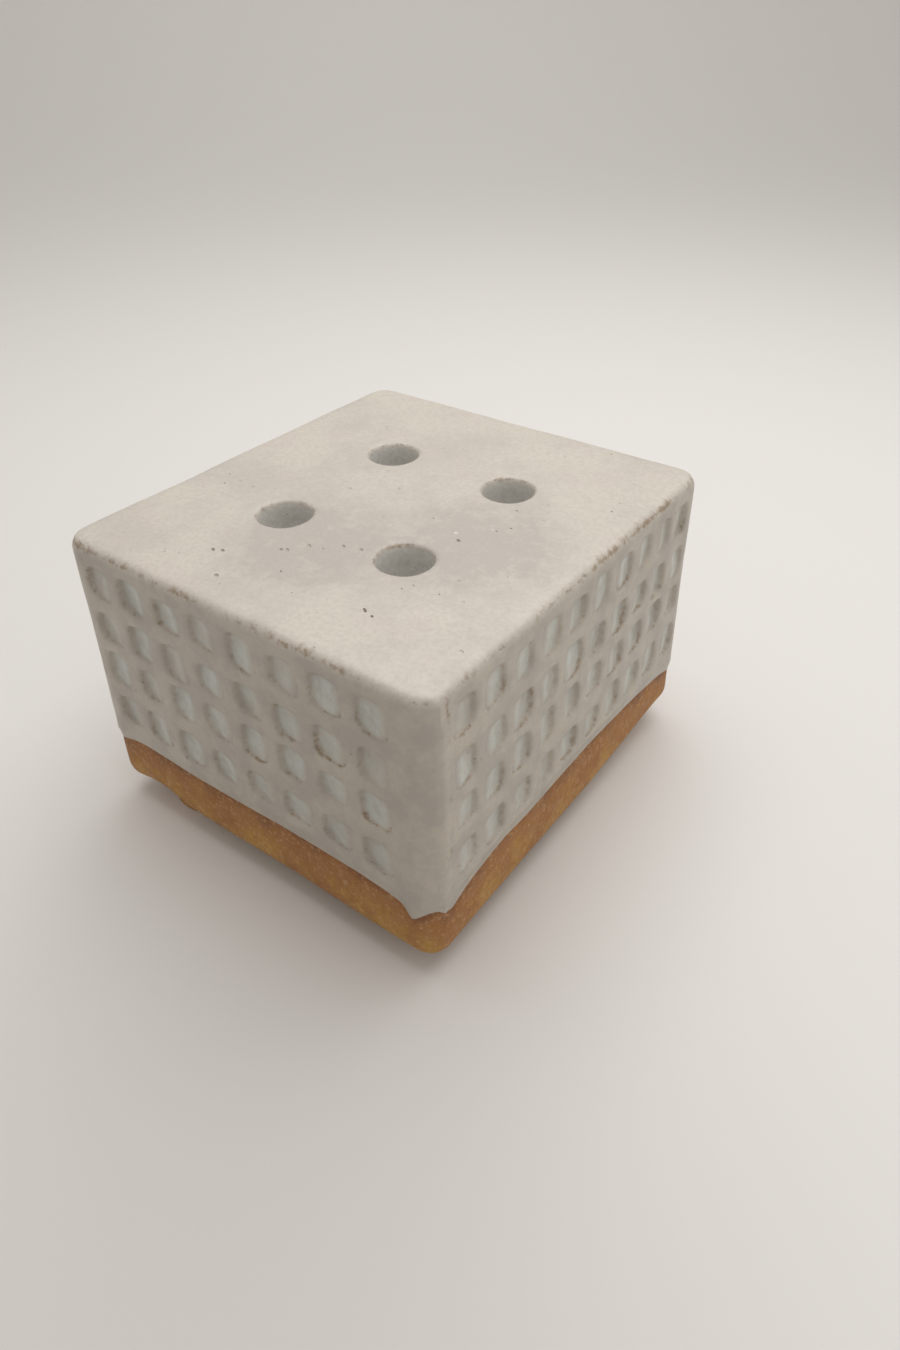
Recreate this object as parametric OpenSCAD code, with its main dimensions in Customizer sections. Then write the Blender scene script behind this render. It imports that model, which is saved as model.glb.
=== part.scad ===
// Flower frog: a slab-built stoneware block with stem holes in its top, dimpled glazed sides,
// a bare clay band at the bottom and four clay feet. Millimetres, +Z up.
// The origin is on the surface that the block stands on, under the middle of the block.

/* [Block] */
// Width of the clay block at its base
block_w = 88; // [80:1:110]
// Depth of the clay block at its base
block_d = 96; // [90:1:120]
// Height of the clay block, without its feet
block_h = 60.4; // [56:0.2:80]
// How far each wall leans in between the base and the top
lean = 1.6; // [0:0.1:2.5]
// Radius of the upright corners at the top
corner_r = 4.6; // [4:0.1:8]
// Rounding of the clay along the top edge
top_edge_r = 2.8; // [1:0.1:3.5]
// Rounding of the clay along the bottom edge
base_edge_r = 4; // [1:0.1:5]

/* [Slabs] */
// Thickness of the rolled wall slabs at their foot
wall_t = 8; // [6:0.5:10]
// Thickness of the top slab
top_t = 9; // [7:0.5:12]
// Thickness of the base slab
base_t = 8; // [6:0.5:10]
// Hollow radius to which the seam coils are smoothed inside
seam_r = 7; // [4:0.5:10]

/* [Stem holes] */
// Radius of a glazed stem hole
hole_r = 5.2; // [3.5:0.1:6.5]
// Distance between the hole centres across the width
hole_pitch_x = 29.4; // [24:0.1:34]
// Distance between the hole centres along the depth
hole_pitch_y = 33.2; // [24:0.1:38]
// Rounding of a stem hole's rim
rim_r = 0.5; // [0.2:0.1:1]

/* [Dimples] */
// Columns of dimples on the front and the back
front_cols = 8; // [4:1:8]
// Distance between the columns on the front and the back
front_pitch = 9.4; // [8.6:0.1:9.8]
// Columns of dimples on the two sides
side_cols = 10; // [4:1:10]
// Distance between the columns on the two sides
side_pitch = 8.6; // [8.2:0.1:8.8]
// Rows of dimples
dimple_rows = 4; // [1:1:4]
// Distance between the rows
row_pitch = 10.3; // [9.5:0.1:10.4]
// Height of the lowest row's middle above the underside
first_row = 22.5; // [21.5:0.5:23]
// Width of a dimple at its mouth
dimple_w = 6.4; // [4:0.1:6.6]
// Width of a dimple at its floor
dimple_floor = 5; // [3:0.1:5.2]
// Depth of a dimple
dimple_depth = 1.2; // [0.8:0.1:1.6]

/* [Glaze] */
// Thickness of the glaze
glaze_t = 0.6; // [0.3:0.1:0.8]
// Height of the glaze line above the underside
glaze_line = 16; // [12:0.5:17]
// How much lower the glaze runs at the corners
corner_run = 4; // [0:0.5:6]
// Height of the glaze line's slow wave
line_wave = 0.6; // [0:0.1:1]

/* [Feet] */
// Radius of a foot
foot_r = 6; // [4.5:0.5:7]
// Height of a foot
foot_h = 4; // [2:0.5:8]
// Rounding of a foot's lower edge
foot_edge_r = 1.6; // [0.5:0.1:1.9]

/* [Hidden] */

arc_fn = 32;            // facets of the rounded corners
hole_fn = 64;           // facets of the holes and feet
corner_base_r = corner_r + lean;
lean_angle = atan(lean / block_h);
inner_w = block_w - 2 * wall_t;
inner_d = block_d - 2 * wall_t;
base_top = foot_h + base_t;
slab_z = foot_h + block_h - top_t;
cavity_h = slab_z - base_top;
run_reach = 6;          // how far along a wall the corner run is felt
wave_rate = 7;          // degrees of the glaze line's wave in a millimetre
over = 1;               // how far a cutter stands past what it cuts

// The feet are pressed on by hand, so they are not in line with each other
foot_spots = [[-27.5, -39], [27, -32.5], [-26, 33], [27, 33]];

clay = "#a97438";
clay_inside = "#b98a58";
glaze_white = "#d3ccc1";
glaze_clear = "#c9cfc6";

// ---- shared shapes ----

// Half outline of a leaning form with rounded lower and upper edges, for one corner
function corner_outline(r, h, low_r, high_r, slope) = concat(
  [[0, 0]],
  [for (a = [-90:15:0]) [r - slope * low_r - low_r + low_r * cos(a), low_r + low_r * sin(a)]],
  [for (a = [0:15:90]) [r - slope * (h - high_r) - high_r + high_r * cos(a), h - high_r + high_r * sin(a)]],
  [[0, h]]
);

// A block with four rounded corners, from the outline of one corner
module corner_block(w, d, r, outline) {
  hull()
    for (x = [-1, 1], y = [-1, 1])
      translate([x * (w / 2 - r), y * (d / 2 - r), 0])
        rotate_extrude($fn = arc_fn) polygon(outline);
}

// The outside of the clay, or of a coat that stands proud of it by grow
module block_form(grow = 0) {
  r = corner_base_r + grow;
  outline = corner_outline(r, block_h + grow, base_edge_r + grow, top_edge_r + grow, lean / block_h);
  translate([0, 0, foot_h])
    corner_block(block_w + 2 * grow, block_d + 2 * grow, r, outline);
}

// The hollow inside, with its seams smoothed round; the coil nodes fill it out to the square slabs
module cavity_form(inset = 0) {
  r = seam_r - inset;
  h = cavity_h - inset;
  outline = concat([for (a = [-90:15:0]) [r * cos(a), r + r * sin(a)]], [[r, h], [0, h]]);
  translate([0, 0, base_top + inset])
    corner_block(inner_w - 2 * inset, inner_d - 2 * inset, r, outline);
}

// The square space between the walls, between two heights
module square_cavity(z_low, z_high) {
  translate([-inner_w / 2, -inner_d / 2, z_low])
    cube([inner_w, inner_d, z_high - z_low]);
}

module at_stem_holes() {
  for (x = [-0.5, 0.5], y = [-0.5, 0.5])
    translate([x * hole_pitch_x, y * hole_pitch_y, 0])
      children();
}

module stem_hole_cut(r) {
  at_stem_holes()
    translate([0, 0, slab_z - over])
      cylinder(r = r, h = top_t + glaze_t + 2 * over, $fn = hole_fn);
}

// Places its child on the leaning outside of a wall, with -Y outwards and Z up from the underside
module on_wall(turn, half) {
  rotate([0, 0, turn])
    translate([0, -half, foot_h])
      rotate([-lean_angle, 0, 0])
        children();
}

// One dimple's cutter, tapering on outwards past the surface;
// grow = glaze_t gives the wider hollow in the clay under the glaze
module dimple(grow) {
  taper = (dimple_w - dimple_floor) / dimple_depth;
  mouth = dimple_w + 2 * grow + taper * over;
  floor_w = dimple_floor + 2 * grow;
  floor_y = grow - glaze_t + dimple_depth;
  skin = 0.01;
  hull() {
    translate([-mouth / 2, floor_y - dimple_depth - over, -mouth / 2])
      cube([mouth, skin, mouth]);
    translate([-floor_w / 2, floor_y - skin, -floor_w / 2])
      cube([floor_w, skin, floor_w]);
  }
}

module wall_dimples(turn, half, cols, pitch, grow) {
  on_wall(turn, half)
    for (c = [0:cols - 1], row = [0:dimple_rows - 1])
      translate([(c - (cols - 1) / 2) * pitch, 0, first_row + row * row_pitch])
        dimple(grow);
}

module all_dimples(grow) {
  wall_dimples(0, block_d / 2, front_cols, front_pitch, grow);
  wall_dimples(90, block_w / 2, side_cols, side_pitch, grow);
  wall_dimples(180, block_d / 2, front_cols, front_pitch, grow);
  wall_dimples(270, block_w / 2, side_cols, side_pitch, grow);
}

// ---- clay slabs ----

// One wall slab, mitred into its neighbours at the upright corners
module wall_slab(turn, width, depth, cols, pitch) {
  reach = wall_t + 2;
  intersection() {
    difference() {
      block_form();
      square_cavity(foot_h - over, foot_h + block_h + over);
      wall_dimples(turn, depth / 2, cols, pitch, glaze_t);
    }
    rotate([0, 0, turn])
      linear_extrude(height = foot_h + block_h + over)
        polygon([
          [-width / 2 - over, -depth / 2 - over], [width / 2 + over, -depth / 2 - over],
          [width / 2 - reach, -depth / 2 + reach], [-width / 2 + reach, -depth / 2 + reach]
        ]);
  }
}

module front_wall() {
  color(clay) wall_slab(0, block_w, block_d, front_cols, front_pitch);
}

module right_wall() {
  color(clay) wall_slab(90, block_d, block_w, side_cols, side_pitch);
}

module back_wall() {
  color(clay) wall_slab(180, block_w, block_d, front_cols, front_pitch);
}

module left_wall() {
  color(clay) wall_slab(270, block_d, block_w, side_cols, side_pitch);
}

// The top slab is let in between the walls, as the base slab is
module top_slab() {
  color(clay)
    difference() {
      square_cavity(slab_z, foot_h + block_h);
      stem_hole_cut(hole_r + glaze_t);
    }
}

module base_slab() {
  color(clay) square_cavity(foot_h, base_top);
}

// ---- seam coils, smoothed into the inside corners ----

module corner_coil(side_x, side_y) {
  color(clay_inside)
    difference() {
      translate([side_x * (inner_w - seam_r) / 2, side_y * (inner_d - seam_r) / 2, (base_top + seam_r + slab_z) / 2])
        cube([seam_r, seam_r, slab_z - base_top - seam_r], center = true);
      translate([side_x * (inner_w / 2 - seam_r), side_y * (inner_d / 2 - seam_r), base_top])
        cylinder(r = seam_r, h = cavity_h + over, $fn = hole_fn);
    }
}

module base_coil() {
  color(clay_inside)
    difference() {
      square_cavity(base_top, base_top + seam_r);
      cavity_form();
    }
}

// ---- feet ----

module foot(spot) {
  flat_r = foot_r - foot_edge_r;
  edge = [for (a = [-90:15:0]) [flat_r + foot_edge_r * cos(a), foot_edge_r + foot_edge_r * sin(a)]];
  color(clay)
    translate([spot.x, spot.y, 0])
      rotate_extrude($fn = hole_fn)
        polygon(concat([[0, 0]], edge, [[foot_r, foot_h], [0, foot_h]]));
}

// ---- glaze ----

// Height of the glaze line at a distance along a wall from its middle
function line_z(s, half) =
  foot_h + glaze_line
  - corner_run * exp(-pow((half - min(abs(s), half)) / run_reach, 2))
  + line_wave * cos(s * wave_rate);

// Everything below the glaze line of one pair of walls, seen along Y
module below_line(half, length) {
  reach = half + 2 * over;
  rotate([90, 0, 0])
    linear_extrude(height = length, center = true)
      polygon(concat(
        [[reach, 0], [-reach, 0]],
        [for (s = [-reach:2:reach]) [s, line_z(s, half)]]
      ));
}

module glaze_coat() {
  color(glaze_white)
    difference() {
      block_form(glaze_t);
      difference() {
        block_form();
        all_dimples(glaze_t);
      }
      all_dimples(0);
      below_line(block_w / 2, 2 * block_d);
      rotate([0, 0, 90]) below_line(block_d / 2, 2 * block_w);
      stem_hole_cut(hole_r + glaze_t);
    }
}

// The glaze that lines the four stem holes, with a softly rounded rim
module stem_hole_glaze() {
  outer = hole_r + glaze_t;
  top = top_t + glaze_t;
  rim = [for (a = [180:-22.5:90]) [hole_r + rim_r + rim_r * cos(a), top - rim_r + rim_r * sin(a)]];
  color(glaze_clear)
    at_stem_holes()
      translate([0, 0, slab_z])
        rotate_extrude($fn = hole_fn)
          polygon(concat([[outer, 0], [hole_r, 0]], rim, [[outer, top]]));
}

// The glaze poured round the inside, which makes the block hold water
module lining_glaze() {
  color(glaze_clear)
    difference() {
      cavity_form();
      difference() {
        cavity_form(glaze_t);
        translate([-block_w, -block_d, slab_z - glaze_t])
          cube([2 * block_w, 2 * block_d, block_h]);
      }
      stem_hole_cut(hole_r);
    }
}

top_slab();
front_wall();
right_wall();
back_wall();
left_wall();
base_slab();
corner_coil(-1, -1);  // corner_coil_front_left
corner_coil(1, -1);  // corner_coil_front_right
corner_coil(-1, 1);  // corner_coil_back_left
corner_coil(1, 1);  // corner_coil_back_right
base_coil();
foot(foot_spots[0]);  // foot_front_left
foot(foot_spots[1]);  // foot_front_right
foot(foot_spots[2]);  // foot_back_left
foot(foot_spots[3]);  // foot_back_right
glaze_coat();
stem_hole_glaze();
lining_glaze();
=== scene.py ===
"""The looks of a slab-built stoneware flower frog: stamped walls, stem holes, a white glaze that
stops short of the base, and small clay feet.

The clay is modelled once as a whole block, the way it stands before glazing, and each slab is then cut
from it, so that the slabs meet exactly. The glaze is grown from the same surface. Shapes are worked out
in millimetres, and every piece is turned into metres when it is finished.
"""

import logging
import math
import random
from dataclasses import dataclass
from enum import Enum
from typing import Callable, ClassVar, Optional, Union

import bmesh
import bpy
from mathutils import Matrix, Vector, noise


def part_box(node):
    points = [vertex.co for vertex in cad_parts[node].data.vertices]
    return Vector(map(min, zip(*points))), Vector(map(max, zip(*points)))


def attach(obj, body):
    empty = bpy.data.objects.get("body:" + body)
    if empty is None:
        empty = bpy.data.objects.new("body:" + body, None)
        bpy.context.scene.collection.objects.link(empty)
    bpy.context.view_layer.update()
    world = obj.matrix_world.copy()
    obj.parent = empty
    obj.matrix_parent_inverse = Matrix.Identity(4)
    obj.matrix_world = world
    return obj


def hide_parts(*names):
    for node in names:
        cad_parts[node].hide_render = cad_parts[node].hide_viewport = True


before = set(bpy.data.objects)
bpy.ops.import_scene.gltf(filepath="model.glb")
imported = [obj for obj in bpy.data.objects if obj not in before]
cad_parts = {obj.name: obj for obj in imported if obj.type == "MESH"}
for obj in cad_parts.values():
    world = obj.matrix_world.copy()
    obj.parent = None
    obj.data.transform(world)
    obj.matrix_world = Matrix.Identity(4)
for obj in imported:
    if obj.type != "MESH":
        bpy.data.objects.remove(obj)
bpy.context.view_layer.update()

MM = 0.001
ROOT = "root"
Colour = tuple[float, float, float, float]
Socket = Union[bpy.types.NodeSocket, float, Colour]
Cell = tuple["Side", float, float]
STEM_HOLE_R = 5.2
CLAY_BELOW_TOP = 0.25
TOUCHING = 0.01

log = logging.getLogger("flower_frog")


class Pick(Enum):
    """What a selection in edit mode is made of."""

    VERTS = "VERT"
    EDGES = "EDGE"
    FACES = "FACE"


class Side(Enum):
    """The four walls, each with its outward direction."""

    FRONT = (0.0, -1.0)
    RIGHT = (1.0, 0.0)
    BACK = (0.0, 1.0)
    LEFT = (-1.0, 0.0)

    @property
    def outward(self) -> Vector:
        """The direction that the wall faces."""
        return Vector((self.value[0], self.value[1], 0.0))

    @property
    def across(self) -> Vector:
        """The direction along which the wall's columns are counted."""
        return Vector((1.0, 0.0, 0.0)) if self.value[0] == 0.0 else Vector((0.0, 1.0, 0.0))

    @property
    def lee(self) -> float:
        """Which end of a dimple, along across, has the steep wall that faces the camera: the glaze is thinner
        there, and the brown put there is partly painted shade.
        """
        return {Side.FRONT: -1.0, Side.RIGHT: 1.0, Side.BACK: 1.0, Side.LEFT: -1.0}[self]


class Zone(Enum):
    """The parts of the block's surface, in the order of their material slots."""

    BARE = 0
    GLAZED = 1
    BORE = 2
    BORE_END = 3


# ---- tools ----


def node_box(node: str) -> tuple[Vector, Vector]:
    """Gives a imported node's lowest and highest corners in millimetres."""
    low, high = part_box(node)
    return low / MM, high / MM


def activate(piece: bpy.types.Object) -> None:
    """Makes a piece the only selected and active one.

    Args:
        piece: The piece.
    """
    bpy.ops.object.select_all(action="DESELECT")
    piece.select_set(True)
    bpy.context.view_layer.objects.active = piece


def start_piece(name: str, add: Callable[..., set], **settings: float) -> bpy.types.Object:
    """Adds a primitive at the origin and opens it in edit mode.

    Args:
        name: The new piece's name.
        add: The operator that adds the primitive.
        **settings: The operator's settings.

    Returns:
        The new piece, all selected and in edit mode.
    """
    bpy.ops.object.select_all(action="DESELECT")
    add(**settings)
    piece = bpy.context.object
    piece.name = name
    piece.data.name = name
    bpy.ops.object.mode_set(mode="EDIT")
    bpy.ops.mesh.select_all(action="SELECT")
    return piece


def close_edit() -> None:
    """Leaves edit mode."""
    bpy.ops.object.mode_set(mode="OBJECT")


def pick(piece: bpy.types.Object, kind: Pick, test: Callable[..., bool]) -> None:
    """Selects only what passes a test, in edit mode.

    Args:
        piece: The piece that is open in edit mode.
        kind: Whether vertices, edges or faces are tested.
        test: Says whether one vertex, edge or face is wanted.
    """
    bpy.ops.mesh.select_mode(type=kind.value)
    bpy.ops.mesh.select_all(action="DESELECT")
    mesh = bmesh.from_edit_mesh(piece.data)
    parts = {Pick.VERTS: mesh.verts, Pick.EDGES: mesh.edges, Pick.FACES: mesh.faces}[kind]
    found = [part for part in parts if test(part)]
    for part in found:
        part.select_set(True)
    mesh.select_flush_mode()
    bmesh.update_edit_mesh(piece.data)


def edge_middle(edge: bmesh.types.BMEdge) -> Vector:
    """Gives the middle of an edge."""
    return (edge.verts[0].co + edge.verts[1].co) / 2


def apply_modifier(piece: bpy.types.Object, kind: str, **settings: object) -> None:
    """Adds a modifier with the given settings and applies it.

    Args:
        piece: The piece to change, in object mode.
        kind: The modifier's type.
        **settings: The modifier's settings.
    """
    activate(piece)
    modifier = piece.modifiers.new(kind.title(), kind)
    for key, value in settings.items():
        setattr(modifier, key, value)
    bpy.ops.object.modifier_apply(modifier=modifier.name)


def copy_piece(piece: bpy.types.Object, name: str) -> bpy.types.Object:
    """Copies a piece with a mesh of its own.

    Args:
        piece: The piece to copy.
        name: The copy's name.

    Returns:
        The copy.
    """
    copied = piece.copy()
    copied.data = piece.data.copy()
    copied.name = name
    copied.data.name = name
    bpy.context.scene.collection.objects.link(copied)
    return copied


def move_points(piece: bpy.types.Object, move: Callable[[Vector, Vector], Vector]) -> None:
    """Moves every point of a piece, as fingers do.

    Args:
        piece: The piece to shape, in object mode.
        move: Takes a point and its normal, and gives the point's new place.
    """
    normals = [vertex.normal.copy() for vertex in piece.data.vertices]
    for vertex, normal in zip(piece.data.vertices, normals):
        vertex.co = move(vertex.co.copy(), normal)
    piece.data.update()


def write_values(piece: bpy.types.Object, name: str, value: Callable[[Vector], float]) -> None:
    """Stores a number worked out from each point's place, for the piece's finish to read."""
    layer = piece.data.attributes.new(name, "FLOAT", "POINT")
    layer.data.foreach_set("value", [value(vertex.co) for vertex in piece.data.vertices])


def read_values(piece: bpy.types.Object, name: str) -> list[float]:
    """Reads back the numbers stored with each point.

    Args:
        piece: The piece, in object mode.
        name: The name that they are stored under.

    Returns:
        One number for each point.
    """
    values = [0.0] * len(piece.data.vertices)
    piece.data.attributes[name].data.foreach_get("value", values)
    return values


def smooth_step(low: float, high: float, value: float) -> float:
    """Rises smoothly from 0 at low to 1 at high."""
    share = min(max((value - low) / (high - low), 0.0), 1.0)
    return share * share * (3.0 - 2.0 * share)


def bell(distance: float, reach: float) -> float:
    """Falls smoothly from 1 at no distance to nearly 0 past reach."""
    return math.exp(-((distance / reach) ** 2))


# ---- finishes ----


class Nodes:
    """A short way to write a material's nodes."""

    first_colour: ClassVar[int] = 6
    second_colour: ClassVar[int] = 7
    mixed_colour: ClassVar[int] = 2

    def __init__(self, name: str) -> None:
        """Starts an empty material with a Principled shader.

        Args:
            name: The material's name.
        """
        self.material = bpy.data.materials.new(name)
        self.material.use_nodes = True
        self.tree = self.material.node_tree
        self.shader = self.tree.nodes["Principled BSDF"]
        self.place = self.tree.nodes.new("ShaderNodeTexCoord").outputs["Object"]

    def add(self, kind: str, inputs: dict[str, Socket], **settings: object) -> bpy.types.Node:
        """Adds a node.

        Args:
            kind: The node's type.
            inputs: A value or another node's output for each named input.
            **settings: The node's own settings.

        Returns:
            The new node.
        """
        node = self.tree.nodes.new(kind)
        for key, value in settings.items():
            setattr(node, key, value)
        for key, value in inputs.items():
            self.put(node.inputs[key], value)
        return node

    def put(self, socket: bpy.types.NodeSocket, value: Socket) -> None:
        """Links an output to an input, or sets the input's value.

        Args:
            socket: The input.
            value: Another node's output, or a plain value.
        """
        if isinstance(value, bpy.types.NodeSocket):
            self.tree.links.new(value, socket)
        else:
            socket.default_value = value

    def grain(self, size_mm: float, detail: float = 3.0, roughness: float = 0.5) -> bpy.types.NodeSocket:
        """Gives soft noise.

        Args:
            size_mm: The size of its lumps.
            detail: How many finer layers it has.
            roughness: How strong they are.

        Returns:
            The noise, from 0 to 1.
        """
        scale = 1.0 / (size_mm * MM)
        inputs = {"Vector": self.place, "Scale": scale, "Detail": detail, "Roughness": roughness}
        return self.add("ShaderNodeTexNoise", inputs).outputs["Fac"]

    def spots(self, size_mm: float, share: float) -> bpy.types.NodeSocket:
        """Gives scattered spots.

        Args:
            size_mm: The size of the cells that hold one spot each.
            share: A spot's radius, as a share of its cell.

        Returns:
            1 inside a spot and 0 outside.
        """
        inputs = {"Vector": self.place, "Scale": 1.0 / (size_mm * MM), "Randomness": 1.0}
        distance = self.add("ShaderNodeTexVoronoi", inputs).outputs["Distance"]
        return self.ramp(distance, share, share * 0.45)

    def near(self, place_mm: tuple[float, float, float], reach_mm: float) -> bpy.types.NodeSocket:
        """Marks the surroundings of a place.

        Args:
            place_mm: The place, in millimetres.
            reach_mm: How far the mark reaches.

        Returns:
            1 at the place, falling to 0 at the end of the reach.
        """
        node = self.add("ShaderNodeVectorMath", {}, operation="DISTANCE")
        self.put(node.inputs[0], self.place)
        node.inputs[1].default_value = tuple(length * MM for length in place_mm)
        return self.ramp(node.outputs["Value"], reach_mm * MM, 0.0)

    def stored(self, name: str) -> bpy.types.NodeSocket:
        """Gives a number that is stored on the piece's points."""
        return self.add("ShaderNodeAttribute", {}, attribute_name=name).outputs["Fac"]

    def ramp(
        self, value: Socket, low: float, high: float, to_low: float = 0.0, to_high: float = 1.0
    ) -> bpy.types.NodeSocket:
        """Turns a value smoothly into one of another range.

        Args:
            value: The value.
            low: The value that becomes to_low.
            high: The value that becomes to_high.
            to_low: The lower end of the new range.
            to_high: The upper end of the new range.

        Returns:
            The new value.
        """
        inputs = {"Value": value, "From Min": low, "From Max": high, "To Min": to_low, "To Max": to_high}
        return self.add("ShaderNodeMapRange", inputs, interpolation_type="SMOOTHSTEP").outputs["Result"]

    def sum(self, first: Socket, second: Socket) -> bpy.types.NodeSocket:
        """Adds two values."""
        return self.math("ADD", first, second)

    def times(self, first: Socket, second: Socket) -> bpy.types.NodeSocket:
        """Multiplies two values."""
        return self.math("MULTIPLY", first, second)

    def math(self, operation: str, first: Socket, second: Socket) -> bpy.types.NodeSocket:
        """Works out one value from two.

        Args:
            operation: The Math node's operation.
            first: The first value.
            second: The second value.

        Returns:
            The result.
        """
        node = self.add("ShaderNodeMath", {}, operation=operation)
        self.put(node.inputs[0], first)
        self.put(node.inputs[1], second)
        return node.outputs["Value"]

    def mix(self, share: Socket, first: Socket, second: Socket) -> bpy.types.NodeSocket:
        """Mixes two colours.

        Args:
            share: How much of the second colour there is.
            first: The first colour.
            second: The second colour.

        Returns:
            The mixed colour.
        """
        node = self.add("ShaderNodeMix", {}, data_type="RGBA")
        self.put(node.inputs["Factor"], share)
        self.put(node.inputs[self.first_colour], first)
        self.put(node.inputs[self.second_colour], second)
        return node.outputs[self.mixed_colour]

    def bump(
        self, height: Socket, depth_mm: float, under: Optional[bpy.types.NodeSocket] = None
    ) -> bpy.types.NodeSocket:
        """Roughens the surface.

        Args:
            height: The roughness, from 0 to 1.
            depth_mm: How deep it is.
            under: The coarser roughness that it lies on.

        Returns:
            The roughened normal.
        """
        node = self.add("ShaderNodeBump", {"Height": height, "Distance": depth_mm * MM, "Strength": 1.0})
        if under is not None:
            self.put(node.inputs["Normal"], under)
        return node.outputs["Normal"]

    def finish(self, colour: Socket, roughness: Socket, normal: bpy.types.NodeSocket) -> bpy.types.Material:
        """Links the shader.

        Args:
            colour: The surface's colour.
            roughness: Its roughness.
            normal: Its normal.

        Returns:
            The finished material.
        """
        self.put(self.shader.inputs["Base Color"], colour)
        self.put(self.shader.inputs["Roughness"], roughness)
        self.put(self.shader.inputs["Normal"], normal)
        return self.material


@dataclass(frozen=True)
class SatinGlaze:
    """White satin glaze: creamy where even, greyer on the stamped walls, blue-green where it pools,
    and brown where it is thinner. The walls are also painted darker than the top as painted shade, the
    brown on the dimples' steep ends that face the camera is partly painted shade, and the stem holes are
    painted lighter as painted light.
    """

    cream: Colour = (0.63, 0.58, 0.515, 1.0)
    grey: Colour = (0.53, 0.49, 0.445, 1.0)
    blush: Colour = (0.60, 0.53, 0.475, 1.0)
    # painted shade: wall and wall_dusk are darker than cream so that the walls look shaded beside the top
    wall: Colour = (0.52, 0.468, 0.403, 1.0)
    wall_dusk: Colour = (0.43, 0.395, 0.35, 1.0)
    # painted light: lining is lighter than cream so that the inside of the stem holes looks lit
    lining: Colour = (0.72, 0.71, 0.67, 1.0)
    pooled: Colour = (0.55, 0.575, 0.54, 1.0)
    # brown of clay showing through thinner glaze, also used as painted shade on the dimples' steep ends that
    # face the camera
    broken_and_painted_shade: Colour = (0.22, 0.135, 0.055, 1.0)
    speck: Colour = (0.10, 0.07, 0.045, 1.0)
    dusk: Colour = (0.47, 0.43, 0.395, 1.0)
    blister: Colour = (0.76, 0.71, 0.70, 1.0)
    dusk_patches: tuple[tuple[tuple[float, float, float], float], ...] = (
        ((-3.0, -22.0, 65.0), 23.0), ((22.0, -5.0, 65.0), 24.0)
    )
    blister_place: tuple[float, float, float] = (25.0, -2.0, 65.0)
    blister_reach: float = 16.0

    def material(self, name: str) -> bpy.types.Material:
        """Builds the glaze's material.

        Args:
            name: The material's name.

        Returns:
            The material.
        """
        nodes = Nodes(name)
        flat = self._flat(nodes)
        dusk = nodes.ramp(nodes.grain(7.0, 5.0, 0.7), 0.38, 0.62)
        # painted shade: the stored wall mask gives the walls their darker colours
        colour = nodes.mix(nodes.stored("wall"), flat, nodes.mix(dusk, self.wall, self.wall_dusk))
        # painted light: the stored inside mask gives the stem holes the lighter lining colour
        colour = nodes.mix(nodes.stored("inside"), colour, self.lining)
        fine = nodes.ramp(nodes.grain(0.9, 4.0, 0.75), 0.35, 0.7, 0.0, 0.36)
        colour = nodes.mix(fine, colour, self.wall_dusk)
        uneven = nodes.ramp(nodes.grain(2.5, 5.0, 0.7), 0.3, 0.65, 0.25, 1.0)
        pool = nodes.times(nodes.ramp(nodes.stored("pool"), 0.1, 0.85), uneven)
        colour = nodes.mix(pool, colour, self.pooled)
        # brown where the glaze is thinner, partly painted shade on the dimples' steep ends that face the
        # camera
        torn = nodes.ramp(nodes.grain(1.6, 5.0, 0.75), 0.3, 0.7, -0.45, 0.35)
        ragged = nodes.sum(nodes.stored("thin"), torn)
        broken_and_painted_shade = nodes.ramp(ragged, 0.2, 0.9, 0.0, 0.66)
        colour = nodes.mix(broken_and_painted_shade, colour, self.broken_and_painted_shade)
        specks = nodes.times(nodes.spots(9.0, 0.035), 0.8)
        colour = nodes.mix(specks, colour, self.speck)
        roughness = nodes.sum(nodes.ramp(nodes.grain(5.0), 0.3, 0.7, 0.36, 0.5), nodes.times(pool, -0.12))
        skin = nodes.bump(nodes.grain(0.9, 4.0, 0.6), 0.08)
        skin = nodes.bump(nodes.times(nodes.spots(6.0, 0.05), -1.0), 0.15, skin)
        return nodes.finish(colour, roughness, skin)

    def _flat(self, nodes: Nodes) -> bpy.types.NodeSocket:
        """Mixes the colour of the top: cream with grey and pink clouds and a few pale blisters.

        Args:
            nodes: The glaze's nodes.

        Returns:
            The colour.
        """
        clouds = nodes.ramp(nodes.grain(20.0, 6.0, 0.68), 0.42, 0.64, 0.0, 0.75)
        flush = nodes.ramp(nodes.grain(13.0, 5.0, 0.65), 0.5, 0.7, 0.0, 0.7)
        colour = nodes.mix(clouds, self.cream, self.grey)
        colour = nodes.mix(flush, colour, self.blush)
        for place, reach in self.dusk_patches:
            mottle = nodes.ramp(nodes.grain(5.0, 5.0, 0.75), 0.35, 0.65, 0.6, 2.0)
            patch = nodes.times(nodes.near(place, reach), mottle)
            colour = nodes.mix(nodes.math("MINIMUM", patch, 0.8), colour, self.dusk)
        blistered = nodes.ramp(nodes.near(self.blister_place, self.blister_reach), 0.2, 0.4)
        blisters = nodes.times(nodes.spots(4.5, 0.13), blistered)
        return nodes.mix(nodes.times(blisters, 0.85), colour, self.blister)


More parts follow.
